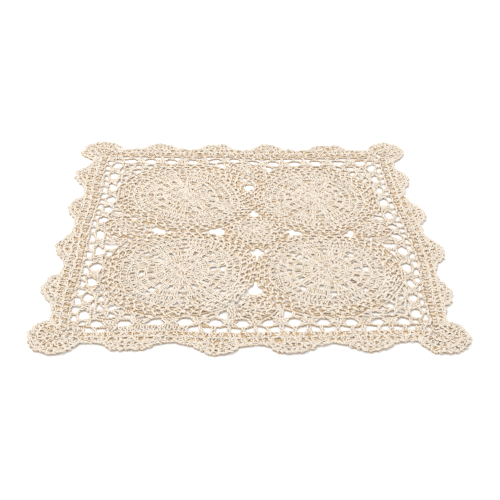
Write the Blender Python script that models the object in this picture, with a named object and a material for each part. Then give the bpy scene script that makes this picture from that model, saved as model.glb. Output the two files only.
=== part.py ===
"""Square crochet tablecloth of cotton yarn, lying flat on a table.

Four round medallions are joined where they meet, five rosettes fill the spaces that they leave, and a
net border and a shell edging are worked round the outside. The plan is drawn on a regular square, in
millimetres from the middle of the cloth, and the table PULLS then draws it out of true, as the
hand-made cloth lies. Each piece is an openwork sheet of one thickness with its own outline and gaps.
"""

import math

import bmesh
import bpy
import numpy as np

MM = 0.001
WELD = 0.00001  # metres within which a sheet's faces and sides are made one

# Sheet
THICKNESS = 2.6
GAP = 0.3  # left between neighbouring pieces, where the maker joined them

# Medallions
CELL = 71.5  # from the middle of the cloth to a medallion's centre, along each side
MEDALLION_RADIUS = 71.5
JOIN_ANGLE = 18.6  # a medallion is joined to what lies beside it over this angle each way
ROUND_ANGLE = 20.4  # from here on its edge is round again
JOIN_SHARES = (0.0, 0.35, 0.7, 1.0)  # the edge's points over a join, and then on its round part
ROUND_SHARES = (0.0, 0.25, 0.5, 0.75)
PETALS = 8
NET_RADIUS = 47.5  # the pair of gaps in the net between two petals
NET_SPREAD = 5.6  # degrees each way from the middle of the net
NET_LENGTH, NET_WIDTH = 4.8, 4.4
RIM_RADIUS = 62.0  # the largest gap of the looped rim
RIM_LENGTH, RIM_WIDTH = 5.2, 4.6

# Rosettes
MIDDLE_REACH = 34.5  # from the centre rosette's centre to its tips
MIDDLE_STEP = 7.5  # degrees between two points of its edge
MIDDLE_LOOPS = 8
MIDDLE_LOOP_RADIUS = 25.2
MIDDLE_LENGTH, MIDDLE_WIDTH = 5.4, 4.6
SIDE_OUT = 127.5  # from the middle of the cloth to a side rosette's centre
SIDE_RADIUS = 19.0
SIDE_STEP = 20  # degrees between two points of its edge

# Net border
BORDER_OUT = 166.0
INNER_ROW = 151.0
INNER_LOOPS = 12
INNER_LENGTH, INNER_WIDTH = 14.6, 7.6
OUTER_ROW = 160.6
OUTER_LENGTH, OUTER_WIDTH = 8.6, 4.9
BORDER_STEPS = 14  # points along each side of the line between border and edging
HANDMADE = 0.13  # how far a loop's size strays from a perfect one's
STRAY_X, STRAY_Y = 0.9, 1.1  # radians of the straying for each millimetre
STRAY_START_X, STRAY_START_Y = 2.3, 0.7

# Shell edging
VALLEY_OUT = 181.0
FAN_CENTRE_OUT = 168.0
FAN_RADIUS = 27.0
FAN_SPACING = 70.0
FANS_PER_SIDE = 4
CORNER_FAN = 174.0
CORNER_FAN_RADIUS = 25.0
FAN_POINTS = 9
CORNER_FAN_POINTS = 15

# Gaps of the netting in one corner of the border. The last two are made again across the diagonal.
CORNER_GAPS = (
    # along, out, length, width, turn
    (137.0, 137.0, 8.4, 7.4, 135.0),
    (151.6, 151.6, 8.6, 6.4, 135.0),
    (161.0, 161.0, 6.6, 5.0, 135.0),
    (125.5, 138.0, 9.2, 6.8, -14.0),
    (113.0, 140.2, 8.6, 5.6, -8.0),
)
ON_DIAGONAL = 3

# Gaps of the netting between a medallion, a side rosette and the inner row.
CUSP_GAPS = (
    # along, out, length, width, turn
    (41.3, 142.4, 6.4, 4.6, 0.0),
    (30.8, 138.2, 8.0, 7.0, 20.0),
)

# How far the hand-made cloth strays from its regular plan.
PULLS = (
    # x, y, moved x, moved y
    # medallions and the rosette between them
    (-71.5, 71.5, 0.9, -3.0),
    (71.5, 71.5, 2.3, -6.7),
    (-71.5, -71.5, 6.7, -4.6),
    (71.5, -71.5, 7.3, -2.6),
    (0.0, 0.0, 6.5, -3.0),
    # the four gaps round the centre rosette
    (0.0, 41.0, 5.8, -11.4),
    (0.0, -41.0, 8.8, -4.2),
    (-41.0, 0.0, 8.9, -5.8),
    (41.0, 0.0, 6.3, -6.4),
    # the four gaps inside the side rosettes
    (0.0, 102.0, 0.0, -15.1),
    (0.0, -102.0, 5.8, -5.9),
    (-102.0, 0.0, 5.7, -4.4),
    (102.0, 0.0, 3.9, -7.3),
    # side rosettes
    (0.0, 127.5, -1.5, -2.1),
    (0.0, -127.5, 7.3, -6.5),
    (-127.5, 0.0, -2.5, 1.5),
    (127.5, 0.0, 2.3, 3.0),
    # inner row of the border, back, near, left and right
    (-62.9, 151.0, -4.5, -6.5),
    (12.6, 151.0, -6.5, -7.5),
    (88.1, 151.0, -7.0, -7.5),
    (-125.8, -151.0, 1.5, -7.5),
    (-62.9, -151.0, 6.0, -3.8),
    (12.6, -151.0, 5.0, -3.8),
    (88.1, -151.0, 4.2, -2.0),
    (-151.0, 62.9, -1.2, -5.8),
    (-151.0, -37.8, 0.5, -7.0),
    (-151.0, -113.3, 2.0, -8.0),
    (151.0, 88.1, -3.0, -6.3),
    (151.0, 12.6, 1.8, -7.0),
    (151.0, -62.9, 5.0, -5.6),
    (151.0, -125.8, 2.4, -3.0),
    # crowns of the fans, back, near, left and right
    (-105.0, 195.0, -4.0, -3.0),
    (-35.0, 195.0, -3.0, -3.0),
    (35.0, 195.0, -13.0, -3.0),
    (105.0, 195.0, -6.0, -3.0),
    (-105.0, -195.0, 0.0, 1.0),
    (-35.0, -195.0, 7.3, -4.0),
    (35.0, -195.0, 4.4, -2.0),
    (105.0, -195.0, 1.5, 2.0),
    (-195.0, 105.0, -8.0, 8.0),
    (-195.0, 35.0, -2.0, 5.0),
    (-195.0, -35.0, 0.0, 0.0),
    (-195.0, -105.0, -1.0, 0.0),
    (195.0, 105.0, -9.0, 3.0),
    (195.0, 35.0, -4.0, 0.0),
    (195.0, -35.0, 3.5, -3.0),
    (195.0, -105.0, -2.0, -6.0),
    # corner fans
    (-174.0, 174.0, -6.0, 1.0),
    (174.0, 174.0, -6.0, -1.0),
    (-174.0, -174.0, 5.0, -3.5),
    (174.0, -174.0, -2.0, 2.0),
)
PULL_SOFTNESS = 30.0  # rounds off each pull
ORIGIN = (-3.77, 0.18)  # the middle of the laid cloth, in the plan

# Soft ridges in the laid cloth: the ends of each, its half width and how far it lifts the sheet.
CREASES = (
    # x, y, x, y, half width, lift
    (-26.0, -133.0, 0.0, -110.0, 15.0, 1.8),
    (135.0, -117.0, 141.0, -90.0, 13.0, 1.4),
)

ECRU = (0.80, 0.72, 0.60, 1.0)
YARN_ROUGHNESS = 0.85


def clear_scene():
    for thing in list(bpy.data.objects):
        bpy.data.objects.remove(thing, do_unlink=True)


def pull_weights():
    """Solves for the smooth field that moves each point of PULLS by its own amount."""
    table = np.array(PULLS)
    places, moves = table[:, :2], table[:, 2:]
    apart = np.linalg.norm(places[:, None] - places[None], axis=2)
    field = np.sqrt(apart**2 + PULL_SOFTNESS**2)
    return places, np.linalg.solve(field, moves)


PULL_PLACES, PULL_WEIGHTS = pull_weights()


def laid(point):
    """Takes a point of the regular plan to where it lies in the cloth."""
    apart = np.linalg.norm(PULL_PLACES - np.array(point), axis=1)
    move = np.sqrt(apart**2 + PULL_SOFTNESS**2) @ PULL_WEIGHTS
    return (point[0] + move[0] - ORIGIN[0], point[1] + move[1] - ORIGIN[1])


def lift(x, y):
    """How far the creases raise the sheet at a point of the laid cloth."""
    height = 0.0
    for x0, y0, x1, y1, half_width, most in CREASES:
        run = np.array((x1 - x0, y1 - y0))
        at = np.array((x - x0, y - y0))
        share = min(1.0, max(0.0, float(at @ run) / float(run @ run)))
        away = float(np.linalg.norm(at - share * run)) / half_width
        if away < 1.0:
            height += most * (1.0 - away**2) ** 2
    return height


def polar(centre, radius, degrees):
    turn = math.radians(degrees)
    return (centre[0] + radius * math.cos(turn), centre[1] + radius * math.sin(turn))


def turned(point, quarter):
    """Turns a point of the back side by quarters of a turn, to the left, near and right sides."""
    x, y = point
    for _ in range(quarter):
        x, y = -y, x
    return (x, y)


def handmade(x, y):
    """The size of a loop beside that of a perfect one."""
    across = math.sin(STRAY_X * x + STRAY_START_X)
    return 1.0 + HANDMADE * across * math.cos(STRAY_Y * y + STRAY_START_Y)


def gap_outline(x, y, length, width, turn=0.0, sides=6):
    """A gap between strands: an oval with a point at each end of its length."""
    size = handmade(x, y)
    points = []
    for step in range(sides):
        along, across = polar((0.0, 0.0), 0.5, 360.0 * step / sides)
        points.append((along * length * size, across * width * size))
    tilt = math.radians(turn)
    return [
        (
            x + a * math.cos(tilt) - b * math.sin(tilt),
            y + a * math.sin(tilt) + b * math.cos(tilt),
        )
        for a, b in points
    ]


def medallion_offsets():
    """Angles of a medallion's edge points, from the middle of a join to the middle of a round part."""
    joined = [JOIN_ANGLE * share for share in JOIN_SHARES]
    return joined + [ROUND_ANGLE + (45.0 - ROUND_ANGLE) * share for share in ROUND_SHARES]


def medallion_reach(offset, grow=0.0):
    """From a medallion's centre to its edge, at an angle from the middle of a join."""
    if offset <= JOIN_ANGLE:
        return (CELL - GAP / 2 + grow) / math.cos(math.radians(offset))
    return MEDALLION_RADIUS + grow


def medallion_edge(centre, start, end, grow=0.0):
    """The edge of a medallion from one angle to another, anticlockwise."""
    angles = []
    for join in range(-360, 721, 90):
        for offset in medallion_offsets():
            angles += [(join - offset, offset), (join + offset, offset)]
        angles.append((join + 45.0, 45.0))
    kept = sorted({pair for pair in angles if start <= pair[0] <= end})
    return [polar(centre, medallion_reach(offset, grow), angle) for angle, offset in kept]


def medallion(side_x, side_y):
    """Outline and gaps of one medallion: a pair of gaps in each net and one in the rim above it."""
    centre = (side_x * CELL, side_y * CELL)
    outline = medallion_edge(centre, 0.0, 359.9)
    gaps = []
    for petal in range(PETALS):
        axis = petal * 360.0 / PETALS
        for spread in (-NET_SPREAD, NET_SPREAD):
            x, y = polar(centre, NET_RADIUS, axis + spread)
            gaps.append(gap_outline(x, y, NET_LENGTH, NET_WIDTH, axis))
        x, y = polar(centre, RIM_RADIUS, axis)
        gaps.append(gap_outline(x, y, RIM_LENGTH, RIM_WIDTH, axis + 90.0))
    return centre, outline, gaps


def middle_reach(degrees):
    """The centre rosette's edge: round at its four tips, and drawn in by the medallions between them."""
    turn = math.radians(degrees)
    toward = CELL * (abs(math.cos(turn)) + abs(math.sin(turn)))
    nearest = MEDALLION_RADIUS + GAP
    inside = toward**2 - 2 * CELL**2 + nearest**2
    if inside <= 0.0:
        return MIDDLE_REACH
    return min(MIDDLE_REACH, toward - math.sqrt(inside))


def centre_rosette():
    centre = (0.0, 0.0)
    angles = [MIDDLE_STEP * step for step in range(round(360 / MIDDLE_STEP))]
    outline = [polar(centre, middle_reach(angle), angle) for angle in angles]
    gaps = []
    for loop in range(MIDDLE_LOOPS):
        angle = 360.0 * (loop + 0.5) / MIDDLE_LOOPS
        x, y = polar(centre, MIDDLE_LOOP_RADIUS, angle)
        gaps.append(gap_outline(x, y, MIDDLE_LENGTH, MIDDLE_WIDTH, angle))
    return centre, outline, gaps


def side_rosette(quarter):
    """A small round rosette halfway along one side."""
    centre = (0.0, SIDE_OUT)
    outline = [
        turned(polar(centre, SIDE_RADIUS, 90.0 + angle), quarter)
        for angle in range(0, 360, SIDE_STEP)
    ]
    return turned(centre, quarter), outline, []


def square_loop(out):
    """A square round the cloth, with points along its sides so that it can follow the pulls."""
    spots = [out * (1.0 - 2.0 * step / BORDER_STEPS) for step in range(BORDER_STEPS)]
    return [turned((spot, out), quarter) for quarter in range(4) for spot in spots]


def border_inside():
    """The inner edge of the border, along medallions and side rosettes, one side after another."""
    right, left = (CELL, CELL), (-CELL, CELL)
    rosette_end = 90 + 5 * SIDE_STEP
    loop = []
    for quarter in range(4):
        side = medallion_edge(right, 45.0, 135.0, GAP)
        side += [
            polar((0.0, SIDE_OUT), SIDE_RADIUS + GAP, angle)
            for angle in range(180 - rosette_end, rosette_end + 1, SIDE_STEP)
        ]
        side += medallion_edge(left, 45.0, 134.9, GAP)
        loop += [turned(point, quarter) for point in side]
    return loop


def border_gaps():
    gaps = []
    inner_pitch = 2 * INNER_ROW / INNER_LOOPS
    outer_pitch = inner_pitch / 2
    rows = (
        # out, pitch, loops, length, width
        (INNER_ROW, inner_pitch, INNER_LOOPS, INNER_LENGTH, INNER_WIDTH),
        (OUTER_ROW, outer_pitch, 2 * INNER_LOOPS, OUTER_LENGTH, OUTER_WIDTH),
    )
    for quarter in range(4):
        turn = 90.0 * quarter
        for out, pitch, loops, length, width in rows:
            for loop in range(loops):
                along = pitch * (loop + 0.5 - loops / 2)
                x, y = turned((along, out), quarter)
                gaps.append(gap_outline(x, y, length, width, turn))
        for index, (along, out, length, width, tilt) in enumerate(CORNER_GAPS):
            x, y = turned((along, out), quarter)
            gaps.append(gap_outline(x, y, length, width, turn + tilt))
            if index >= ON_DIAGONAL:
                x, y = turned((out, along), quarter)
                gaps.append(gap_outline(x, y, length, width, turn + 90.0 - tilt))
        for along, out, length, width, tilt in CUSP_GAPS:
            for side in (-1, 1):
                x, y = turned((side * along, out), quarter)
                gaps.append(gap_outline(x, y, length, width, turn + side * tilt))
    return gaps


def net_border():
    return (0.0, 0.0), square_loop(BORDER_OUT), [border_inside()] + border_gaps()


def fan_arc(centre, radius, start, end, points):
    """Points on a fan's round edge, from its right end to its left."""
    return [
        polar(centre, radius, start + (end - start) * step / (points - 1))
        for step in range(points)
    ]


def shell_edging():
    """Two plain rows with a fan over every shell, and a wide fan at each corner."""
    side_start = math.degrees(math.asin((VALLEY_OUT - FAN_CENTRE_OUT) / FAN_RADIUS))
    corner_start = math.degrees(math.asin((VALLEY_OUT - CORNER_FAN) / CORNER_FAN_RADIUS))
    loop = []
    for quarter in range(4):
        corner = (CORNER_FAN, CORNER_FAN)
        side = fan_arc(
            corner, CORNER_FAN_RADIUS, corner_start - 90.0, 180.0 - corner_start, CORNER_FAN_POINTS
        )
        for fan in range(FANS_PER_SIDE):
            along = FAN_SPACING * ((FANS_PER_SIDE - 1) / 2 - fan)
            middle = (along, FAN_CENTRE_OUT)
            side += fan_arc(middle, FAN_RADIUS, side_start, 180.0 - side_start, FAN_POINTS)
        loop += [turned(point, quarter) for point in side]
    return (0.0, 0.0), loop, [square_loop(BORDER_OUT + GAP)]


def yarn_material(name):
    material = bpy.data.materials.new(name)
    material.use_nodes = True
    shader = material.node_tree.nodes["Principled BSDF"]
    shader.inputs["Base Color"].default_value = ECRU
    shader.inputs["Roughness"].default_value = YARN_ROUGHNESS
    shader.inputs["Metallic"].default_value = 0.0
    return material


def add_loop(curve, loop, middle):
    """Adds one closed outline, laid as in the cloth and measured from the piece's own middle."""
    spline = curve.splines.new("POLY")
    spline.points.add(len(loop) - 1)
    for point, place in zip(spline.points, loop):
        x, y = laid(place)
        point.co = ((x - middle[0]) * MM, (y - middle[1]) * MM, 0.0, 1.0)
    spline.use_cyclic_u = True


def openwork_sheet(name, centre, outline, gaps, collection):
    """Fills an outline and its gaps, gives it the cloth's thickness and raises it along the creases."""
    middle = laid(centre)
    curve = bpy.data.curves.new(name + "_outline", "CURVE")
    curve.dimensions = "2D"
    curve.fill_mode = "BOTH"
    curve.extrude = THICKNESS / 2 * MM
    for loop in [outline] + gaps:
        add_loop(curve, loop, middle)
    drawn = bpy.data.objects.new(name + "_outline", curve)
    bpy.context.scene.collection.objects.link(drawn)
    drawn.location = (middle[0] * MM, middle[1] * MM, THICKNESS / 2 * MM)
    bpy.context.view_layer.update()

    graph = bpy.context.evaluated_depsgraph_get()
    mesh = bpy.data.meshes.new_from_object(drawn.evaluated_get(graph))
    mesh.name = name
    sheet = bmesh.new()
    sheet.from_mesh(mesh)
    bmesh.ops.remove_doubles(sheet, verts=sheet.verts, dist=WELD)
    flat = [face for face in sheet.faces if abs(face.normal.z) > 0.5]
    inner = [edge for edge in sheet.edges if all(face in flat for face in edge.link_faces)]
    bmesh.ops.beautify_fill(sheet, faces=flat, edges=inner)
    for vertex in sheet.verts:
        vertex.co.z += lift(middle[0] + vertex.co.x / MM, middle[1] + vertex.co.y / MM) * MM
    bmesh.ops.recalc_face_normals(sheet, faces=sheet.faces)
    sheet.to_mesh(mesh)
    sheet.free()

    piece = bpy.data.objects.new(name, mesh)
    piece.matrix_world = drawn.matrix_world
    bpy.data.objects.remove(drawn, do_unlink=True)
    collection.objects.link(piece)
    mesh.materials.clear()
    mesh.materials.append(yarn_material(name + "_yarn"))
    return piece


def build():
    clear_scene()
    cloth = bpy.data.collections.new("crochet_tablecloth")
    bpy.context.scene.collection.children.link(cloth)
    pieces = {
        "medallion_back_left": medallion(-1, 1),
        "medallion_back_right": medallion(1, 1),
        "medallion_near_left": medallion(-1, -1),
        "medallion_near_right": medallion(1, -1),
        "rosette_centre": centre_rosette(),
        "rosette_back": side_rosette(0),
        "rosette_left": side_rosette(1),
        "rosette_near": side_rosette(2),
        "rosette_right": side_rosette(3),
        "net_border": net_border(),
        "shell_edging": shell_edging(),
    }
    for name, (centre, outline, gaps) in pieces.items():
        openwork_sheet(name, centre, outline, gaps, cloth)


build()
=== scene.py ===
"""Crochet tablecloth of cotton yarn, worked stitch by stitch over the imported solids.

Every chain, post and loop of the cloth is a strand of yarn. The strands are drawn in the regular plan, in
millimetres from the middle of the cloth, the table PULLS lays them out of true as the hand-made cloth lies,
and a tube of yarn then follows each of them.
"""

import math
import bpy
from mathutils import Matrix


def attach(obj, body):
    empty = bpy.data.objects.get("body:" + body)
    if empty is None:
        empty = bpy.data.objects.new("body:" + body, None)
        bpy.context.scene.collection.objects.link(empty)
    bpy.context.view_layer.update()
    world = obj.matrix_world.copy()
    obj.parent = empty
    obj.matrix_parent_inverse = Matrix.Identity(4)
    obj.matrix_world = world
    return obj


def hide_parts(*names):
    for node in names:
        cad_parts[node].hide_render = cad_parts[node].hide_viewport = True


bl_info = {
    "name": "Crochet Tablecloth",
    "version": (1, 0, 0),
    "blender": (4, 5, 0),
    "location": "View3D > Sidebar > Crochet",
    "description": "Works the medallions, rosettes, net border and shell edging of a tablecloth",
    "category": "Add Mesh",
}

import bpy
import numpy as np
from bpy.props import FloatProperty, FloatVectorProperty, IntProperty, PointerProperty
from bpy.types import Operator, Panel, PropertyGroup
from mathutils import Matrix, Vector

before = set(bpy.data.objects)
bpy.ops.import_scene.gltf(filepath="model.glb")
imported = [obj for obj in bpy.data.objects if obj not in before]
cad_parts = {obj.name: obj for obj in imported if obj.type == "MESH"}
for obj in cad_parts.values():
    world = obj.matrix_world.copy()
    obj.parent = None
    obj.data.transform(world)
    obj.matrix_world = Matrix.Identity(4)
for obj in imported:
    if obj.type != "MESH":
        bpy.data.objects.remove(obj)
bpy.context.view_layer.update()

MM = 0.001
BODY = "root"
YARN_FINISH = "twisted_cotton"
BAKE_MAP = "OFBake"
TWIST_MAP = "yarn_twist"
SIDES = ("back", "left", "near", "right")

# Seeds of the strays in the stitches, the first of each kind of piece
MEDALLION_SEED = 11
CENTRE_SEED = 21
SIDE_SEED = 22
BORDER_SEED = 31
EDGING_SEED = 41

# Regular plan of the pieces
CELL = 71.5  # from the middle of the cloth to a medallion's centre, along each side
GAP = 0.3  # left between two medallions
MEDALLION_RADIUS = 71.5
MEDALLION_FIRM = 50.0  # radius within which a medallion's rounds are true circles
TURN_ANGLE = 14.0  # from the end of a join to the round edge
MIDDLE_ROUND = 34.5  # radius to which the centre rosette's rounds are worked
MIDDLE_REACH = 38.5  # radius to which they are drawn where no medallion holds them back
MIDDLE_GAPS = (30.0, 32.0, 33.0, 33.0)  # radius at the four gaps: right, back, left, near
GAP_ANGLE = 8.0  # over which its edge is drawn in towards each of them
SIDE_OUT = 127.5  # from the middle of the cloth to a side rosette's centre
SIDE_ROUND = 18.4  # radius to which the side rosettes are worked
SIDE_LOBES = (
    # how much further inwards, and how far that is drawn in again in its middle: back, left, near, right
    (9.0, 2.0),
    (7.0, 4.0),
    (5.0, 4.0),
    (7.0, 4.0),
)
LOBE_ANGLE = 36.0  # over which a lobe falls off, and likewise its notch
LOBE_NOTCH_ANGLE = 13.0
FAN_CENTRE_OUT = 168.0
FAN_SPACING = 70.0
FANS_PER_SIDE = 4
CORNER_FAN = 174.0  # from the middle of the cloth to a corner fan's centre, along each side
VALLEY_OUT = 181.0  # to the edge between two fans
POINT_STEP = 0.8  # between two points of a line
SCALLOP_STEP = 1.6  # the same in the border's rows

# How far the hand-made cloth strays from its regular plan.
PULLS = (
    # x, y, moved x, moved y
    # medallions and the rosette between them
    (-71.5, 71.5, 0.9, -3.0),
    (71.5, 71.5, 2.3, -6.7),
    (-71.5, -71.5, 6.7, -4.6),
    (71.5, -71.5, 7.3, -2.6),
    (0.0, 0.0, 6.5, -3.0),
    # the four gaps round the centre rosette
    (0.0, 41.0, 5.8, -11.4),
    (0.0, -41.0, 8.8, -4.2),
    (-41.0, 0.0, 8.9, -5.8),
    (41.0, 0.0, 6.3, -6.4),
    # the four gaps inside the side rosettes
    (0.0, 102.0, 0.0, -15.1),
    (0.0, -102.0, 5.8, -5.9),
    (-102.0, 0.0, 5.7, -4.4),
    (102.0, 0.0, 3.9, -7.3),
    # side rosettes
    (0.0, 127.5, -1.5, -2.1),
    (0.0, -127.5, 7.3, -6.5),
    (-127.5, 0.0, -2.5, 1.5),
    (127.5, 0.0, 2.3, 3.0),
    # inner row of the border, back, near, left and right
    (-62.9, 151.0, -4.5, -6.5),
    (12.6, 151.0, -6.5, -7.5),
    (88.1, 151.0, -7.0, -7.5),
    (-125.8, -151.0, 1.5, -7.5),
    (-62.9, -151.0, 6.0, -3.8),
    (12.6, -151.0, 5.0, -3.8),
    (88.1, -151.0, 4.2, -2.0),
    (-151.0, 62.9, -1.2, -5.8),
    (-151.0, -37.8, 0.5, -7.0),
    (-151.0, -113.3, 2.0, -8.0),
    (151.0, 88.1, -3.0, -6.3),
    (151.0, 12.6, 1.8, -7.0),
    (151.0, -62.9, 5.0, -5.6),
    (151.0, -125.8, 2.4, -3.0),
    # crowns of the fans, back, near, left and right
    (-105.0, 195.0, -4.0, -3.0),
    (-35.0, 195.0, -3.0, -3.0),
    (35.0, 195.0, -13.0, -3.0),
    (105.0, 195.0, -6.0, -3.0),
    (-105.0, -195.0, 0.0, 1.0),
    (-35.0, -195.0, 7.3, -4.0),
    (35.0, -195.0, 4.4, -2.0),
    (105.0, -195.0, 1.5, 2.0),
    (-195.0, 105.0, -8.0, 8.0),
    (-195.0, 35.0, -2.0, 5.0),
    (-195.0, -35.0, 0.0, 0.0),
    (-195.0, -105.0, -1.0, 0.0),
    (195.0, 105.0, -9.0, 3.0),
    (195.0, 35.0, -4.0, 0.0),
    (195.0, -35.0, 3.5, -3.0),
    (195.0, -105.0, -2.0, -6.0),
    # corner fans
    (-174.0, 174.0, -4.0, -4.0),
    (174.0, 174.0, -6.0, -1.0),
    (-174.0, -174.0, 5.0, -3.5),
    (174.0, -174.0, -2.0, 2.0),
)
PULL_SOFTNESS = 30.0
ORIGIN = (-3.77, 0.18)  # the middle of the laid cloth, in the pulled plan

# Soft ridges in the laid cloth: the ends of each, its half width and how far it lifts the cloth.
CREASES = (
    # x, y, x, y, half width, lift
    (-26.0, -133.0, 0.0, -110.0, 15.0, 1.2),
    (135.0, -117.0, 141.0, -90.0, 13.0, 1.0),
)

# The same for one piece alone, where its rim stands up over the next piece.
RIM_CREASES = (
    # piece, x, y, x, y, half width, lift
    ("medallion_stitches_near_left", -24.0, -130.0, -1.0, -112.0, 8.0, 0.4),
    ("medallion_stitches_near_right", 134.0, -112.0, 139.0, -92.0, 7.0, 0.4),
)

# Slow waves that carry the stitches off their true lines, as a hand does.
WAVES = (
    # wavelength, heading in degrees, start in degrees, moved x, moved y, lifted
    (27.0, 17.0, 20.0, 0.50, 0.38, 0.10),
    (17.0, 71.0, 110.0, 0.42, -0.42, 0.12),
    (12.3, 128.0, 180.0, -0.36, 0.36, 0.14),
    (8.7, 42.0, 290.0, 0.26, 0.30, 0.14),
    (6.1, 155.0, 75.0, 0.16, -0.18, 0.12),
)

# How each kind of stitch runs. It is repeated along its line. The second strand of a braid is the mirror
# image of the first, and that of a chain runs half a stitch behind it.
BRAID = (
    # along the stitch, across in mm, up in mm
    (0.00, 0.25, 1.15),
    (0.32, 0.85, 1.85),
    (0.74, 1.05, 1.65),
)
CHAIN = (
    # along the stitch, across in mm, up in mm
    (0.00, 0.72, 1.30),
    (0.17, 0.42, 1.95),
    (0.33, -0.42, 1.95),
    (0.50, -0.72, 1.30),
    (0.67, -0.42, 0.75),
    (0.83, 0.42, 0.75),
)
BACK = (
    # along the stitch, across in mm, up in mm
    (0.00, 0.35, 0.62),
    (0.50, -0.35, 0.72),
)
BRAID_LENGTH = 3.9
BRAID_WIDE = 0.9
BRAID_LAG = 0.08  # how far the second strand is behind the first, in stitches
CHAIN_LENGTH = 5.2
BACK_LENGTH = 6.0
BACK_WIDE = 1.7  # the strand behind a row is pressed this much wider

# How uneven the stitches are
UNEVEN_ALONG = 0.05  # beside a stitch's length
UNEVEN_ACROSS = 0.14  # beside its width
UNEVEN_UP = 0.6  # beside the yarn's stray
UNEVEN_WRAP = 0.04  # beside a post's height
UNEVEN_POST = 0.08  # beside a post's width
UNEVEN_MESH = 0.06  # beside a mesh of a net

# A post, for the strand that goes up it. The strand that comes back is mirrored across and in height.
POST_WRAP = (
    # along the wrap, across in mm, up in mm
    (0.05, -0.92, 0.05),
    (0.48, -1.00, 0.22),
    (0.74, 0.92, 0.46),
    (0.95, 0.90, 0.10),
)
PLAIN_POST = (
    # along the post, across in mm, up in mm
    (0.05, -0.88, 0.10),
    (0.50, -0.82, 0.40),
    (0.95, -0.88, 0.10),
)
WRAP_LENGTH = 7.0
WRAP_LEAN = 0.8  # deviations from the middle past which a post crosses the other way
POST_MIDDLE = 1.5
POST_LOW = 0.85
POST_TUCK = 0.1  # how far its ends are tucked under the rows, beside its height
POST_FOOT = 0.3  # from its middle to the strand at its foot
BOW_POINT = 1.4  # a bowed post comes to a point at 1 and is round at 2
TOP_HALF = 1.25  # from the middle of a row's tops to their edge
NET_HALF = 0.9  # the same in an open round
NET_WIDE = 1.1  # width of the posts in an open round
PLUMP = 1.25  # how much wider the yarn is there
RIDGE_WIDE = 0.7
RIDGE_RISE = 0.25
MESH_DEPTH = 0.7  # how far an open round runs in and out between its posts
FOOT_STRAND = 4.1  # from the middle of a row's tops to the low strand beyond it
CLOSE_RISE = 0.45  # how much higher the low strand lies in a close round
NET_RISE = 0.1  # the same in an open round
LOW_PARTS = 32  # stretches of a low strand, where some are left out
NEAR_BARE = 0.6  # how much more often that is so on the near half
ROW_WIDE = 0.95  # width of the posts in the medallions' rows

# The round pieces, worked outwards. In the tables of their ROWS of posts stand foot, head, groups, posts in
# a group, how far apart these are at the foot and at the head, the first group's angle, and whether the
# strands of a post cross. In those of their BRAIDS stand the radius, and whether the round outside it is an
# open one. In those of their NET of wide posts stand foot, head and shift in meshes.
MEDALLION_ROWS = (
    (2.4, 10.3, 15, 1, 0.0, 0.0, 0.0, False),
    (10.3, 17.6, 24, 1, 0.0, 0.0, 0.0, True),
    (17.6, 25.2, 38, 1, 0.0, 0.0, 0.0, False),
    (25.2, 34.2, 16, 3, 2.0, 3.0, 11.25, False),
    (34.2, 42.0, 8, 6, 3.5, 4.0, 22.5, False),
    (42.0, 49.5, 8, 8, 3.7, 4.2, 22.5, True),
    (49.5, 57.0, 8, 7, 4.2, 4.3, 22.5, True),
    (49.5, 57.0, 8, 2, 6.2, 7.2, 0.0, True),
)
MEDALLION_BRAIDS = (
    (2.4, False),
    (10.3, True),
    (17.6, False),
    (25.2, True),
    (34.2, True),
    (42.0, True),
    (49.5, True),
    (57.0, True),
)
MEDALLION_MESHES = 46
MEDALLION_NET = (
    (57.4, 62.4, 0.0),
    (62.4, 67.4, 0.5),
    (67.4, 72.0, 0.0),
)
MEDALLIONS = (
    # node, side along x, side along y, turned in degrees, share with no low strand, angle of its outer
    # joins, of its join sideways towards the middle of the cloth, and of its other join towards it
    ("medallion_back_left", -1, 1, 2.5, 0.0, 17.0, 13.5, 8.0),
    ("medallion_back_right", 1, 1, 2.5, 0.0, 17.0, 13.5, 15.0),
    ("medallion_near_left", -1, -1, 5.0, 0.5, 13.0, 15.0, 8.0),
    ("medallion_near_right", 1, -1, 4.5, 0.5, 13.0, 15.0, 15.0),
)
BORDER_JOIN = 15.0

MIDDLE_ROWS = (
    (2.2, 10.8, 12, 1, 0.0, 0.0, 0.0, False),
    (10.8, 18.6, 19, 1, 0.0, 0.0, 11.25, True),
)
MIDDLE_BRAIDS = (
    (2.2, False),
    (10.8, True),
    (18.6, True),
)
MIDDLE_MESHES = 20
MIDDLE_NET = (
    (19.0, 24.4, 0.5),
    (24.4, 29.8, 0.0),
    (29.8, 35.2, 0.5),
)

SIDE_ROWS = ((2.0, 9.0, 8, 1, 0.0, 0.0, 0.0, False),)
SIDE_BRAIDS = ((2.0, False),)
SIDE_RIDGE = 9.0
SIDE_MESHES = 12
SIDE_NET = (
    (9.4, 14.2, 0.0),
    (14.2, 19.0, 0.5),
)

# Rows of the net border, by how far out they lie on the back side
BASE_CHAIN = 146.4
BASE_START = 12.5  # from the middle of a side, where the side rosette interrupts it
BASE_SCALLOP = 1.4
TOP_CHAIN = 157.2
TOP_SCALLOP = 1.3
TOP_WIDE = 0.8
TOP_DROP = 0.4
EDGE_CHAIN = 165.0
CHAIN_DROP = 0.3  # how much lower the chains along the pieces' edges lie
SIDE_SHIFTS = (
    # of the base row, the top row and the edge row: back, left, near, right
    (0.0, 0.3, -0.4),
    (0.8, -0.5, -0.5),
    (0.0, -0.4, 1.3),
    (0.8, -0.5, -0.5),
)
LOOP_PITCH = 25.17
CLUSTERS = 5  # each way from the middle of a side
CLUSTER_FOOT = 1.6  # from the base row to a cluster's posts
ROSETTE_CLUSTER_FOOT = 2.6  # the same over the side rosette
CLUSTER_HEAD = 1.0
SQUARES = 11  # each way from the middle of a side
SQUARE_FOOT = 0.5
SQUARE_HEAD = 0.8
SQUARE_STRAY = 0.5
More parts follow.
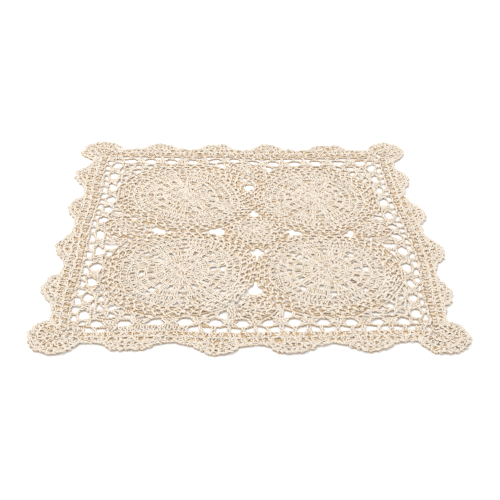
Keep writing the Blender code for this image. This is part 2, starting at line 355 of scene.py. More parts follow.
SQUARE_LEAN = 0.6
SQUARE_WIDE = 1.25
CLOSED_SIDE = 2
CLOSED_STEPS = range(5, 10)  # steps of the near side's left half at which its squares are closed
RIM_CHAIN = 73.2
RIM_ARC = (45.0, 131.0)
SIDE_RIM_CHAIN = 20.8
SIDE_RIM_ARC = (-8.0, 90.0)
CLUSTER_POSTS = (
    # from the middle of the cluster at the rows, and at the waist
    (6.5, 3.3),
    (2.2, 1.1),
)
CORNER_CHAIN_WIDE = 1.1
CORNER_CHAINS = (
    # along and out, for each point of the chain
    ((98.0, 143.6), (106.0, 143.9), (113.0, 144.0), (119.0, 143.4), (125.5, 142.9), (139.0, 142.4),
     (143.0, 142.8)),
    ((101.0, 139.6), (104.0, 138.3), (113.0, 135.6), (119.5, 134.2), (125.5, 133.4), (130.0, 132.4),
     (132.0, 131.6)),
)
CORNER_NET = (
    # foot and head out from the medallion's middle, first and last angle, posts
    (74.4, 83.2, 48.5, 63.0, 3),
)
CORNER_NET_PAST = 2.0  # degrees by which its edge goes on past its posts
CORNER_POSTS = (
    # foot along, foot out, head along, head out, bow
    (145.8, 147.2, 147.4, 156.2, 0.0),
    (150.6, 158.0, 150.4, 164.0, 0.0),
    (154.6, 158.0, 154.2, 164.0, 0.0),
    (158.0, 158.4, 158.2, 164.0, 0.0),
    (131.4, 133.4, 131.2, 141.8, 0.0),
    (134.0, 133.6, 140.4, 141.0, 0.0),
    (119.2, 135.0, 119.0, 142.6, 0.0),
    (107.0, 138.2, 106.2, 143.2, 0.0),
    (36.4, 136.6, 36.2, 145.6, 0.0),
    (46.6, 142.4, 46.4, 145.8, 0.0),
    (26.4, 131.0, 25.6, 145.6, 0.6),
    (21.6, 130.0, 20.2, 145.6, -0.8),
    (22.4, 125.0, 23.6, 133.0, 0.0),
)

# Rows of the shell edging, by how far out they lie on the back side
EDGING_PITCH = 5.4
EDGING_STRAY = 0.8
EDGING_LEAN = 1.5
EDGING_LOWS = (2.4, -2.6)  # the low strands, from a row's foot and from its head
EDGING_LOW_POINTS = 120
EDGING_TOP_POINTS = 180
EDGING_ROWS = (
    # foot, head, half length
    (166.2, 173.4, 163.0),
    (173.6, 180.8, 157.0),
)
FAN_ROWS = (
    # foot, head, first angle, last angle
    (13.2, 19.8, 42.0, 138.0),
    (20.0, 24.8, 31.0, 149.0),
)
FAN_LOWS = (
    # the low strands, from a fan row's foot and from its head, and degrees by which they fall short
    (2.4, 6.0),
    (-2.0, 3.0),
)
FAN_TOPS_PAST = 2.0  # degrees by which its tops go on past its posts
CORNER_FAN_ROWS = (
    # foot, head, first angle, last angle
    (3.2, 9.6, -170.0, 174.0),
    (10.0, 17.2, -78.0, 168.0),
    (17.6, 22.8, -78.0, 168.0),
)
CORNER_FAN_LOW = 2.2  # from a row's foot or head to its low strands
CORNER_EYE = 2.6  # radius of its small ring
CORNER_TURN = (-84.0, 174.0)  # angles between which its tops show
SHORTEST_POST = 0.9
VALLEY_START = 23.0  # from a fan's middle to the chain in the valley beside it
VALLEY_LENGTH = 9.0
VALLEY_RAISED = 0.9
VALLEY_FALL = 1.5  # how quickly it comes down from the fan's rim
LOOP_POINTS = 13
RIM_LOOP = 6.4
RIM_RISE = 1.9
RIM_UNEVEN = 0.3
RIM_BLUNT = 2.2  # a loop of the rim comes to a point at 1 and is squarer past 2
FAN_RIM = 24.9
FAN_START = 27.0  # angle at which a fan's rim starts
CORNER_FAN_RIM = 22.8
CORNER_FAN_START = -82.0

# Tubes of yarn
LOWEST = 0.03  # between the table and the lowest yarn
FRAME_START = (0.3, 0.2, 0.9)  # a direction in which no strand runs
BAKE_FILL = 0.995  # share of the bake map's side that is used
BAKE_ROW = 1.12  # height of a row there, beside the yarn's girth
BAKE_CAP = 3  # how many times the room for a yarn's end goes into that height
CAP_RADIUS = 0.4  # of that end on the map, beside its room
CAP_HEIGHT = 0.45  # where it lies in its row

# Finish of the yarn
FIBRE_DETAIL = 2.0
FIBRE_HEIGHT = 0.5  # beside that of the plies
TINT_DETAIL = 3.0
BUMP_STRENGTH = 0.55
BUMP_DEPTH = 0.0002
PLY_SHARE = 0.45  # how much the plies' painted shade in their grooves, and then the tint, count in the colour
TINT_SHARE = 0.8
YARN_SPECULAR = 0.12
SHEEN_ROUGHNESS = 0.5

# Stage
FLOOR_ROUGHNESS = 0.9
FLOOR_SPECULAR = 0.1
SENSOR_WIDTH = 36.0  # millimetres


def pull_weights():
    """Solves for the smooth field that moves each point of PULLS by its own amount."""
    table = np.array(PULLS)
    places, moves = table[:, :2], table[:, 2:]
    apart = np.linalg.norm(places[:, None] - places[None], axis=2)
    return places, np.linalg.solve(np.sqrt(apart**2 + PULL_SOFTNESS**2), moves)


PULL_PLACES, PULL_WEIGHTS = pull_weights()


def laid(points):
    """Takes points of the regular plan to where they lie in the cloth."""
    apart = np.linalg.norm(points[:, None] - PULL_PLACES[None], axis=2)
    return points + np.sqrt(apart**2 + PULL_SOFTNESS**2) @ PULL_WEIGHTS - np.array(ORIGIN)


def lift(points, name):
    """How far the creases raise points of a piece of the laid cloth."""
    height = np.zeros(len(points))
    own = tuple(crease for piece, *crease in RIM_CREASES if piece == name)
    for x0, y0, x1, y1, half_width, most in CREASES + own:
        run = np.array((x1 - x0, y1 - y0))
        at = points - np.array((x0, y0))
        share = np.clip(at @ run / (run @ run), 0.0, 1.0)
        away = np.linalg.norm(at - share[:, None] * run, axis=1) / half_width
        height += np.where(away < 1.0, most * (1.0 - np.minimum(away, 1.0) ** 2) ** 2, 0.0)
    return height


def waves(points):
    """How far the hand carries stitches at points of the plan, along x, along y and up."""
    moved = np.zeros((len(points), 3))
    for wavelength, heading, start, *most in WAVES:
        turn = math.radians(heading)
        along = points @ np.array((math.cos(turn), math.sin(turn)))
        moved += np.sin(2 * math.pi * along / wavelength + math.radians(start))[:, None] * most
    return moved


def turned(points, quarter):
    """Turns plan points of the back side by quarters of a turn, to the left, near and right sides."""
    points = np.asarray(points, float)
    for _ in range(quarter):
        points = np.stack((-points[:, 1], points[:, 0]), axis=1)
    return points


def mirrored(points):
    """The same points on the other half of a side, in an order that keeps the line's direction."""
    return (np.asarray(points, float) * (-1.0, 1.0))[::-1]


def smooth(points):
    """A smooth line through a few points, with many points of its own."""
    points = np.asarray(points, float)
    ends = np.vstack((2 * points[0] - points[1], points, 2 * points[-1] - points[-2]))
    line = []
    for a, b, c, d in zip(ends, ends[1:], ends[2:], ends[3:]):
        count = max(2, math.ceil(np.linalg.norm(c - b) / POINT_STEP))
        for t in np.arange(count) / count:
            line.append(
                0.5 * (2 * b + (c - a) * t + (2 * a - 5 * b + 4 * c - d) * t**2
                       + (3 * b - a - 3 * c + d) * t**3)
            )
    return np.array(line + [points[-1]])


def distances(line):
    """How far along a line each of its points lies."""
    return np.concatenate(([0.0], np.cumsum(np.linalg.norm(np.diff(line, axis=0), axis=1))))


class Work:
    """The strands of one piece as it is worked, in millimetres of the plan and above the table.

    Stitches are told for the back side, and quarter turns them to the side that is worked."""

    def __init__(self, seed, yarn, quarter=0):
        self.quarter = quarter
        self.strands = []
        self.widths = []
        self.random = np.random.default_rng(seed)
        self.stray = yarn.stray / MM

    def follow(self, line, stitch, length, closed=False, mirror=1.0, phase=0.0, wide=1.0, drop=0.0,
               plump=1.0):
        """Repeats a stitch along a line, as one strand, wider or lower than its table where told."""
        line, table = turned(line, self.quarter), np.array(stitch)
        far = distances(line)
        heading = np.gradient(line, axis=0)
        if closed:
            heading[0] = heading[-1] = line[1] - line[-2]
        heading /= np.linalg.norm(heading, axis=1)[:, None]
        count = max(1, round(far[-1] / length))
        step = far[-1] / count
        number = np.repeat(np.arange(count), len(table))
        own = self.random.normal(0.0, 1.0, (count, 4))[number]
        shape = np.tile(table, (count, 1))
        place = (number + shape[:, 0] + phase + UNEVEN_ALONG * own[:, 0]) * step
        if closed:
            place = place % far[-1]
        inside = np.clip(place, 0.0, far[-1])
        spot = np.stack([np.interp(inside, far, line[:, k]) for k in (0, 1)], axis=1)
        ahead = np.stack([np.interp(inside, far, heading[:, k]) for k in (0, 1)], axis=1)
        beside = np.stack((-ahead[:, 1], ahead[:, 0]), axis=1)
        across = mirror * wide * shape[:, 1] * (1.0 + UNEVEN_ACROSS * own[:, 1])
        across += self.stray * own[:, 2]
        up = shape[:, 2] - drop + UNEVEN_UP * self.stray * own[:, 3]
        strand = np.column_stack((spot + across[:, None] * beside, up))
        strand = strand[np.concatenate(([True], np.diff(inside) != 0.0))]
        if closed:
            strand = np.vstack((strand, strand[:1]))
        self.strands.append(strand)
        self.widths.append(plump)

    def braid(self, line, closed=False):
        """The tops of a row of stitches, as two strands side by side."""
        self.follow(line, BRAID, BRAID_LENGTH, closed, wide=BRAID_WIDE)
        self.follow(line, BRAID, BRAID_LENGTH, closed, mirror=-1.0, phase=BRAID_LAG, wide=BRAID_WIDE)

    def chain(self, line, closed=False, wide=1.0, drop=0.0):
        """A run of chain stitches, as two strands laid round each other."""
        for phase in (0.0, 0.5):
            self.follow(line, CHAIN, CHAIN_LENGTH, closed, phase=phase, wide=wide, drop=drop)

    def ridge(self, line, closed=False):
        """The tops of an open round, as one strand."""
        self.follow(line, CHAIN, CHAIN_LENGTH, closed, wide=RIDGE_WIDE, drop=-RIDGE_RISE, plump=PLUMP)

    def back(self, line, closed=False, rise=0.0):
        """The strand that lies low behind a row of posts."""
        # Lying this low, the strand takes the painted shade of low yarn in full.
        self.follow(line, BACK, BACK_LENGTH, closed, drop=-rise, plump=BACK_WIDE)

    def post(self, foot, head, bow=0.0, wide=1.0, plump=1.0, crossed=True):
        """A post from one row to the next: a strand up and back again, most often crossed at its wraps.

        bow moves its middle to its left, in millimetres, and plump widens the yarn."""
        table = POST_WRAP if crossed else PLAIN_POST
        own = self.random.normal(0.0, 1.0, 7)
        foot, head = turned((foot, head), self.quarter) + self.stray * own[:4].reshape(2, 2)
        tall = np.linalg.norm(head - foot)
        ahead = (head - foot) / tall
        beside = np.array((-ahead[1], ahead[0]))
        wraps = max(1, round(tall / WRAP_LENGTH))
        up, down = [], []
        side = 1.0 if own[6] < WRAP_LEAN else -1.0
        for wrap in range(wraps):
            for share, across, height in table:
                along = (wrap + share) / wraps
                along += UNEVEN_WRAP * own[4] * (1.0 - abs(2.0 * along - 1.0))
                beyond = side * wide * across * (1.0 + UNEVEN_POST * own[5])
                up.append((along, beyond, POST_MIDDLE + height))
                down.append((along, -beyond, POST_MIDDLE - height))
            side = -side if crossed else side
        shape = [
            (-POST_TUCK, -POST_FOOT, POST_LOW),
            *up,
            (1.0 + POST_TUCK, 0.0, POST_LOW),
            *down[::-1],
            (-POST_TUCK, POST_FOOT, POST_LOW),
        ]
        strand = []
        for along, beyond, height in shape:
            bent = bow * (1.0 - abs(2.0 * along - 1.0) ** BOW_POINT)
            spot = foot + ahead * tall * along + beside * (beyond + bent)
            strand.append((spot[0], spot[1], height))
        self.strands.append(np.array(strand))
        self.widths.append(plump)


def round_place(centre, turn=0.0, reach=None, full=None, inner=0.0):
    """Returns the function from a radius and an angle in degrees to a point of the plan.

    Where a reach is given, radii past inner are drawn out or in, so that full comes to the piece's edge."""
    def place(radius, degrees):
        radius = np.asarray(radius, float)
        angle = np.asarray(degrees, float) + turn
        if reach is not None:
            grow = np.clip((radius - inner) / (full - inner), 0.0, 1.0)
            radius = radius * (1.0 + grow * (reach(angle) / full - 1.0))
        turned_by = np.radians(angle)
        x = centre[0] + radius * np.cos(turned_by)
        y = centre[1] + radius * np.sin(turned_by)
        return np.stack(np.broadcast_arrays(x, y), axis=-1)
    return place


def medallion_reach(inward, outer_join, sideways_join, other_join):
    """Returns the function from an angle to a medallion's edge, flat where joined and round elsewhere.

    inward is the direction to the middle of the cloth."""
    def reach(degrees):
        offset = np.abs((degrees + 45.0) % 90.0 - 45.0)
        inner = np.abs((degrees - inward + 180.0) % 360.0 - 180.0) < 45.0
        sideways = np.abs(np.cos(np.radians(degrees))) > math.sqrt(0.5)
        join = np.where(inner, np.where(sideways, sideways_join, other_join), outer_join)
        flat = (CELL - GAP / 2) / np.cos(np.radians(np.minimum(offset, join)))
        share = np.clip((offset - join) / TURN_ANGLE, 0.0, 1.0)
        share = share * share * (3.0 - 2.0 * share)
        return flat * (1.0 - share) + MEDALLION_RADIUS * share
    return reach


def middle_reach(degrees):
    """From the middle of the cloth to the centre rosette's edge, drawn in by the medallions."""
    turn = np.radians(degrees)
    toward = CELL * (np.abs(np.cos(turn)) + np.abs(np.sin(turn)))
    inside = toward**2 - 2 * CELL**2 + (MEDALLION_RADIUS + GAP) ** 2
    drawn_in = toward - np.sqrt(np.maximum(inside, 0.0))
    offset = (degrees + 45.0) % 90.0 - 45.0
    side = ((degrees + 45.0) // 90.0 % 4).astype(int)
    drawn = MIDDLE_REACH - np.array(MIDDLE_GAPS)[side]
    free = MIDDLE_REACH - drawn * np.exp(-(offset / GAP_ANGLE) ** 2)
    return np.where(inside > 0.0, np.minimum(free, drawn_in), free)


def arc(place, radius, start=0.0, end=360.0):
    """A round of a piece, or a part of it between two angles."""
    count = max(8, math.ceil(radius * math.radians(abs(end - start)) / POINT_STEP))
    return place(radius, np.linspace(start, end, count + 1))


def work_rows(work, place, rows):
    """Posts between two rounds, in groups spread evenly round the piece."""
    for foot, head, groups, posts, foot_apart, head_apart, first, crossed in rows:
        for group in range(groups):
            middle = first + 360.0 * group / groups
            for post in range(posts):
                side = post - (posts - 1) / 2
                foot_angle = middle + math.degrees(side * foot_apart / foot)
                head_angle = middle + math.degrees(side * head_apart / head)
                ends = place((foot + TOP_HALF, head - TOP_HALF), (foot_angle, head_angle))
                work.post(*ends, wide=ROW_WIDE, crossed=crossed)


def work_braids(work, place, radii, bare=0.0):
    """The tops of each round, and the low strand that shows between the feet of the next.

    bare is the share of the rounds that has no low strand, so that the table shows."""
    *inner, (edge, _) = radii
    for radius, opened in inner:
        work.braid(arc(place, radius), closed=True)
        if opened:
            low_round(work, place, radius + FOOT_STRAND, bare)
        else:
            work.back(arc(place, radius + FOOT_STRAND), closed=True, rise=CLOSE_RISE)
    work.braid(arc(place, edge), closed=True)


def low_round(work, place, radius, bare):
    """The low strand of a round, left out here and there, and more so on the near half."""
    if not bare:
        work.back(arc(place, radius), closed=True)
        return
    step = 360.0 / LOW_PARTS
    for part in range(LOW_PARTS):
        nearer = -math.sin(math.radians((part + 0.5) * step))
        if work.random.random() >= bare * (1.0 + NEAR_BARE * nearer):
            work.back(arc(place, radius, part * step, (part + 1) * step))


def meshed(place, radius, meshes, shift):
    """A round that runs in to each post inside it and out to each post outside it."""
    degrees = np.linspace(0.0, 360.0, math.ceil(radius * 2 * math.pi / POINT_STEP) + 1)
    wave = np.cos(np.radians(degrees * meshes) - 2 * math.pi * shift)
    return place(radius - MESH_DEPTH * wave, degrees)


def work_net(work, place, meshes, rounds):
    """Rounds of wide posts, with a small open mesh between one and the next."""
    edge = rounds[-1][1]
    for foot, head, shift in rounds:
        for mesh in range(meshes):
            angle = 360.0 * (mesh + shift + UNEVEN_MESH * work.random.normal()) / meshes
            work.post(*place((foot + NET_HALF, head - NET_HALF), angle), wide=NET_WIDE, plump=PLUMP)
        work.back(arc(place, (foot + head) / 2), closed=True, rise=NET_RISE)
        if head < edge:
            work.ridge(meshed(place, head, meshes, shift), closed=True)


def medallion_work(side_x, side_y, turn, bare, joins, seed, yarn):
    """A medallion of eight petals, with netting round it that the joins draw flat."""
    work = Work(seed, yarn)
    centre = (side_x * CELL, side_y * CELL)
    reach = medallion_reach(math.degrees(math.atan2(-side_y, -side_x)), *joins)
    place = round_place(centre, turn, reach, MEDALLION_RADIUS, MEDALLION_FIRM)
    work_rows(work, place, MEDALLION_ROWS)
    work_braids(work, place, MEDALLION_BRAIDS, bare)
    work_net(work, place, MEDALLION_MESHES, MEDALLION_NET)
    return work


def centre_rosette_work(seed, yarn):
    """The rosette in the middle of the cloth."""
    work = Work(seed, yarn)
    firm = MIDDLE_BRAIDS[-1][0]
    place = round_place((0.0, 0.0), 0.0, middle_reach, MIDDLE_ROUND, firm)
    work_rows(work, place, MIDDLE_ROWS)
    work_braids(work, place, MIDDLE_BRAIDS)
    work_net(work, place, MIDDLE_MESHES, MIDDLE_NET)
    return work


def side_rosette_work(quarter, seed, yarn):
    """A small rosette at the middle of a side, with a lobe towards the middle of the cloth."""
    work = Work(seed, yarn)
    centre = turned([(0.0, SIDE_OUT)], quarter)[0]

    def reach(degrees):
        offset = (degrees - 90.0 * quarter + 270.0) % 360.0 - 180.0
        lobe, notch = SIDE_LOBES[quarter]
        return (SIDE_ROUND + lobe * np.exp(-(offset / LOBE_ANGLE) ** 2)
                - notch * np.exp(-(offset / LOBE_NOTCH_ANGLE) ** 2))

    place = round_place(centre, 90.0 * quarter, reach, SIDE_ROUND, SIDE_RIDGE)
    work_rows(work, place, SIDE_ROWS)
    work_braids(work, place, SIDE_BRAIDS)
    work.ridge(arc(place, SIDE_RIDGE), closed=True)
    work_net(work, place, SIDE_MESHES, SIDE_NET)
    return work


def net_border_work(seed, yarn):
    """The border's rows of chains and posts, with netting in its corners and beside the side rosettes."""
    work = Work(seed, yarn)
    for quarter, shifts in enumerate(SIDE_SHIFTS):
        work.quarter = quarter
        base, top, edge = np.add((BASE_CHAIN, TOP_CHAIN, EDGE_CHAIN), shifts)
        work.chain(scalloped(-top, top, top, -TOP_SCALLOP), wide=TOP_WIDE, drop=TOP_DROP)
        work.chain(scalloped(-edge, edge, edge, 0.0), drop=CHAIN_DROP)
        border_clusters(work, base, top)
        border_squares(work, top, edge, CLOSED_STEPS if quarter == CLOSED_SIDE else ())
        for points in rim_chains():
            work.chain(points, drop=CHAIN_DROP)
        for side in (-1, 1):
            border_corner(work, side, base)
    return work


def border_clusters(work, base, top):
    """Bowed posts drawn together at their waists, with the large gaps between one cluster and the next."""
    for cluster in range(-CLUSTERS, CLUSTERS + 1):
        foot = base + (CLUSTER_FOOT if cluster else ROSETTE_CLUSTER_FOOT)
        for side in (-1, 1):
            for spread, waist in CLUSTER_POSTS:
                along = cluster * LOOP_PITCH + side * spread
                work.post((along, foot), (along, top - CLUSTER_HEAD), side * (spread - waist))


def border_squares(work, top, edge, closed):
    """The outer row of small square gaps, with more posts at the steps where it is closed."""
    foot, head = top + SQUARE_FOOT, edge - SQUARE_HEAD
    for step in range(-SQUARES, SQUARES + 1):
        along = step * LOOP_PITCH / 2 + work.random.normal(0.0, SQUARE_STRAY)
        lean = work.random.normal(0.0, SQUARE_LEAN)
        work.post((along, foot), (along + lean, head), wide=SQUARE_WIDE)
        if step in closed:
            for share in (1 / 3, 2 / 3):
                between = along + share * LOOP_PITCH / 2
                work.post((between, foot), (between, head))


def border_corner(work, side, base):
    """The base row of one half of a side, and the netting between it and the medallion."""
    flip = np.array((side, 1.0))
    work.chain(scalloped(BASE_START, BASE_CHAIN, base, BASE_SCALLOP) * flip)
    for points in CORNER_CHAINS:
        work.chain(smooth(points) * flip, wide=CORNER_CHAIN_WIDE)
    for foot_x, foot_y, head_x, head_y, bow in CORNER_POSTS:
        work.post((foot_x, foot_y) * flip, (head_x, head_y) * flip, side * bow)
    place = round_place((CELL, CELL))
    for foot, head, first, last, posts in CORNER_NET:
        for degrees in np.linspace(first, last, posts):
            work.post(*place((foot, head), degrees) * flip)
        if side > 0:
            start, end = 90.0 - last - CORNER_NET_PAST, last + CORNER_NET_PAST
            work.ridge(arc(place, head, start, end))


def scalloped(start, end, out, rise):
    """A row of the border from one end to the other, further out by rise at each cluster of posts."""
    along = np.linspace(start, end, max(2, math.ceil(abs(end - start) / SCALLOP_STEP)))
    turn = 2 * math.pi * along / LOOP_PITCH
    return np.column_stack((along, out + rise * np.cos(turn)))


def rim_chains():
    """The chains along the edges of the medallions and of the side rosette, on the back side."""
    inward = -135.0
    reach = medallion_reach(inward, BORDER_JOIN, BORDER_JOIN, BORDER_JOIN)
    right = round_place((CELL, CELL), 0.0, reach, MEDALLION_RADIUS, MEDALLION_FIRM)
    medallion = arc(right, RIM_CHAIN, *RIM_ARC)
    rosette = arc(round_place((0.0, SIDE_OUT)), SIDE_RIM_CHAIN, *SIDE_RIM_ARC)
    return [medallion, mirrored(medallion), rosette, mirrored(rosette)]


def shell_edging_work(quarter, seed, yarn):
    """One side of the edging, with the fans along it and the wide fan at its right end."""
    work = Work(seed, yarn, quarter)
    for foot, head, reach in EDGING_ROWS:
        edging_row(work, foot, head, reach)
    for fan in range(FANS_PER_SIDE):
        edging_fan(work, FAN_SPACING * (fan - (FANS_PER_SIDE - 1) / 2))
    corner_fan(work)
    return work


def edging_row(work, foot, head, reach):
    """A plain row of posts, with the low strands behind them and their tops."""
    for along in np.linspace(-reach, reach, round(2 * reach / EDGING_PITCH)):
        start = along + work.random.normal(0.0, EDGING_STRAY)
        lean = work.random.normal(0.0, EDGING_LEAN)
        work.post((start, foot + TOP_HALF), (start + lean, head - TOP_HALF))
    for edge, low in zip((foot, head), EDGING_LOWS):
        work.back([(along, edge + low) for along in np.linspace(-reach, reach, EDGING_LOW_POINTS)])
    work.braid([(along, head) for along in np.linspace(-reach, reach, EDGING_TOP_POINTS)])


def edging_fan(work, middle):
    """A fan on the plain rows, its rim, and the chains in the valleys on both sides of it."""
    place = round_place((middle, FAN_CENTRE_OUT))
    for foot, head, start, end in FAN_ROWS:
        count = round(math.radians(end - start) * (foot + head) / 2 / EDGING_PITCH)
        for angle in np.linspace(start, end, count + 1):
            lowest = (VALLEY_OUT - FAN_CENTRE_OUT) / math.sin(math.radians(angle))
            from_row = max(foot, lowest) + TOP_HALF
            if head - TOP_HALF - from_row > SHORTEST_POST:
                work.post(*place((from_row, head - TOP_HALF), angle))
        for edge, (low, short) in zip((foot, head), FAN_LOWS):
            work.back(arc(place, edge + low, start + short, end - short))
        work.braid(arc(place, head, start - FAN_TOPS_PAST, end + FAN_TOPS_PAST))
    shell_rim(work, place, FAN_RIM, FAN_START, 180.0 - FAN_START)
    share = np.linspace(0.0, 1.0, LOOP_POINTS)
    out = VALLEY_OUT + VALLEY_RAISED + RIM_RISE * (1.0 - share) ** VALLEY_FALL
    for side in (-1, 1):
        along = middle + side * (VALLEY_START + VALLEY_LENGTH * share)
        work.chain(np.column_stack((along, out)))


def corner_fan(work):
    """The wide fan round a corner, worked from its own small ring."""
    place = round_place((CORNER_FAN, CORNER_FAN))
    for foot, head, start, end in CORNER_FAN_ROWS:
        count = round(math.radians(end - start) * (foot + 2 * head) / 3 / EDGING_PITCH)
        for angle in np.linspace(start, end, count + 1):
            work.post(*place((foot + TOP_HALF, head - TOP_HALF), angle))
        for low in (foot + CORNER_FAN_LOW, head - CORNER_FAN_LOW):
            work.back(arc(place, low, start, end))
        work.braid(arc(place, head, max(start, CORNER_TURN[0]), min(end, CORNER_TURN[1])))
    work.chain(arc(place, CORNER_EYE), closed=True, drop=CHAIN_DROP)
    shell_rim(work, place, CORNER_FAN_RIM, CORNER_FAN_START, 90.0 - CORNER_FAN_START)


def shell_rim(work, place, radius, start, end):
    """Small loops that finish the edge of a fan."""
    count = round(math.radians(end - start) * radius / RIM_LOOP)
    angles = np.linspace(start, end, count + 1)
    share = np.linspace(0.0, 1.0, LOOP_POINTS)
    for first, last in zip(angles, angles[1:]):
        tall = RIM_RISE * (1.0 + RIM_UNEVEN * work.random.normal())
        rise = tall * (1.0 - np.abs(2.0 * share - 1.0) ** RIM_BLUNT)
        work.chain(place(radius + rise, first + share * (last - first)))


def strand_path(name, strand, yarn):
    """Where the middle of a strand runs in the laid cloth, in metres."""
    lowest = yarn.thickness / 2 * yarn.pressed / MM + LOWEST
    moved = waves(strand[:, :2])
    flat = laid(strand[:, :2] + moved[:, :2])
    height = np.maximum(strand[:, 2] + moved[:, 2], lowest) + lift(flat, name)
    return np.column_stack((flat, height)) * MM


def tube_frames(path):
    """Directions along and across a strand at each point, turning as little as they can."""
    along = np.gradient(path, axis=0)
    along /= np.linalg.norm(along, axis=1)[:, None]
    across = np.empty_like(path)
    last = np.cross(along[0], FRAME_START)
    for index, direction in enumerate(along):
        last = last - (last @ direction) * direction
        last = last / math.sqrt(last @ last)
        across[index] = last
    return along, across


def circle(yarn):
    """The directions of the tube's corners, seen along the yarn."""
    angles = 2 * math.pi * np.arange(yarn.sides) / yarn.sides
    return np.stack((np.cos(angles), np.sin(angles)), -1)


def tube_points(path, width, yarn):
    """A ring of points at each point of a path, pressed flat as yarn is in a stitch."""
    along, across = tube_frames(path)
    other = np.cross(along, across)
    round_yarn = circle(yarn)
    ring = across[:, None] * round_yarn[None, :, :1] + other[:, None] * round_yarn[None, :, 1:]
    ring *= (width, width, yarn.pressed)
    return (path[:, None] + yarn.thickness / 2 * ring).reshape(-1, 3)


def tube_faces(first, rings, sides):
    """The faces of a tube whose points are numbered from first on."""
    start = first + sides * np.arange(rings - 1)[:, None]
    this = np.arange(sides)[None]
    following = (this + 1) % sides
    corners = (start + this, start + following, start + sides + following, start + sides + this)
    return np.stack(corners, axis=-1).reshape(-1, 4)


def face_corners(first, second, near, late):
    """Map places of the four corners of many faces, between two places each way."""
    corners = ((first, near), (second, near), (second, late), (first, late))
    return np.stack([np.stack(corner, -1) for corner in corners], axis=-2)


def twist_spread(far, sides):
    """Share of a turn round the yarn and length along it, at each face's corners."""
    left = np.broadcast_to(np.arange(sides)[None] / sides, (len(far) - 1, sides))
    near = np.broadcast_to(far[:-1, None], left.shape)
    late = np.broadcast_to(far[1:, None], left.shape)
    return face_corners(left, left + 1.0 / sides, near, late).reshape(-1, 2)


def bake_row(yarn):
    """Width of a face of the yarn, and height of a row of the bake map before it is scaled."""
    side_length = yarn.thickness * math.sin(math.pi / yarn.sides)
    return side_length, BAKE_ROW * yarn.sides * side_length


def bake_spread(runs, cap_spots, used, yarn):
    """Lays the faces of all the yarn, end to end, in rows over the bake map."""
    side_length, row_height = bake_row(yarn)
    cap_room = row_height / BAKE_CAP
    row_length = math.sqrt(used * row_height)
    rows = math.floor(used / row_length) + 1
    longest = (runs[:, 1] - runs[:, 0]).max()
    scale = BAKE_FILL / max(row_length + 2 * cap_room + longest, rows * row_height)

    side = np.tile(np.arange(yarn.sides), len(runs) // yarn.sides)
    row = np.floor(runs[:, 0] / row_length)
    low = row * row_height + side * side_length
    begin = runs[:, 0] - row * row_length + cap_room
    end = begin + runs[:, 1] - runs[:, 0]
    strip = face_corners(low, low + side_length, begin, end)[..., ::-1].reshape(-1, 2)

    row = np.floor(cap_spots / row_length)
    middle = np.stack((cap_spots - row * row_length + cap_room, (row + CAP_HEIGHT) * row_height), -1)
    caps = middle[:, None] + CAP_RADIUS * cap_room * circle(yarn)
    return np.concatenate((strip, caps.reshape(-1, 2))) * scale


def yarn_mesh(name, work, yarn):
    """One mesh with a closed tube of yarn along every strand."""
    sides = yarn.sides
    cap_room = bake_row(yarn)[1] / BAKE_CAP
    points, faces, caps, twist, cap_twist, runs, cap_spots = [], [], [], [], [], [], []
    first, used = 0, 0.0
    for strand, width in zip(work.strands, work.widths):
        path = strand_path(name, strand, yarn)
        far = distances(path)
        points.append(tube_points(path, width, yarn))
        faces.append(tube_faces(first, len(path), sides))
        twist.append(twist_spread(far, sides))
        last = first + sides * (len(path) - 1)
        caps += [first + np.arange(sides)[::-1], last + np.arange(sides)]
        cap_twist += [0.0, far[-1]]
        begin = used + cap_room
        runs.append(np.column_stack((begin + far[:-1], begin + far[1:])).repeat(sides, axis=0))
        cap_spots += [used + cap_room / 2, begin + far[-1] + cap_room / 2]
        first = last + sides
        used = begin + far[-1] + cap_room

    mesh = bpy.data.meshes.new(name)
    mesh.from_pydata(np.concatenate(points), [], np.concatenate(faces).tolist() + np.array(caps).tolist())
    mesh.shade_smooth()
    ends = np.stack((np.full(len(caps), 0.5), np.array(cap_twist)), -1).repeat(sides, axis=0)
    bake = bake_spread(np.concatenate(runs), np.array(cap_spots), used, yarn)
    for label, spread in ((BAKE_MAP, bake), (TWIST_MAP, np.concatenate((*twist, ends)))):
        layer = mesh.uv_layers.new(name=label)
        layer.uv.foreach_set("vector", spread.astype(np.float32).ravel())
    return mesh


def yarn_piece(name, nodes, work, yarn, material):
    """Makes one piece of yarn from a work, with its material, on the body, and hides the solids it stands
    for.
    """
    mesh = yarn_mesh(name, work, yarn)
    piece = bpy.data.objects.new(name, mesh)
    bpy.context.scene.collection.objects.link(piece)
    mesh.materials.append(material)
    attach(piece, BODY)
    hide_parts(*nodes)


class Finish:
    """A material as its nodes are put together."""

    def __init__(self, name):
        self.material = bpy.data.materials.new(name)
        self.material.use_nodes = True
        self.shader = self.material.node_tree.nodes["Principled BSDF"]

    def add(self, kind, **values):
        node = self.material.node_tree.nodes.new(kind)
        for key, value in values.items():
            setattr(node, key, value)
        return node

    def fill(self, node, values):
        """Gives each named or numbered socket of a node its value, or links it to another socket."""
        for name, value in values.items():
            if isinstance(value, bpy.types.NodeSocket):
                self.material.node_tree.links.new(value, node.inputs[name])
            else:
                node.inputs[name].default_value = value
        return node.outputs

    def maths(self, operation, *values):
        return self.fill(self.add("ShaderNodeMath", operation=operation), dict(enumerate(values)))[0]

    def parts(self, vector):
        return self.fill(self.add("ShaderNodeSeparateXYZ"), {"Vector": vector})

    def noise(self, vector, scale, detail):
        values = {"Vector": vector, "Scale": scale, "Detail": detail}
        return self.fill(self.add("ShaderNodeTexNoise"), values)["Fac"]

    def mixed(self, share, first, second):
        node = self.add("ShaderNodeMix", data_type="RGBA", clamp_factor=True)
        return self.fill(node, {"Factor": share, "A": first, "B": second})["Result"]


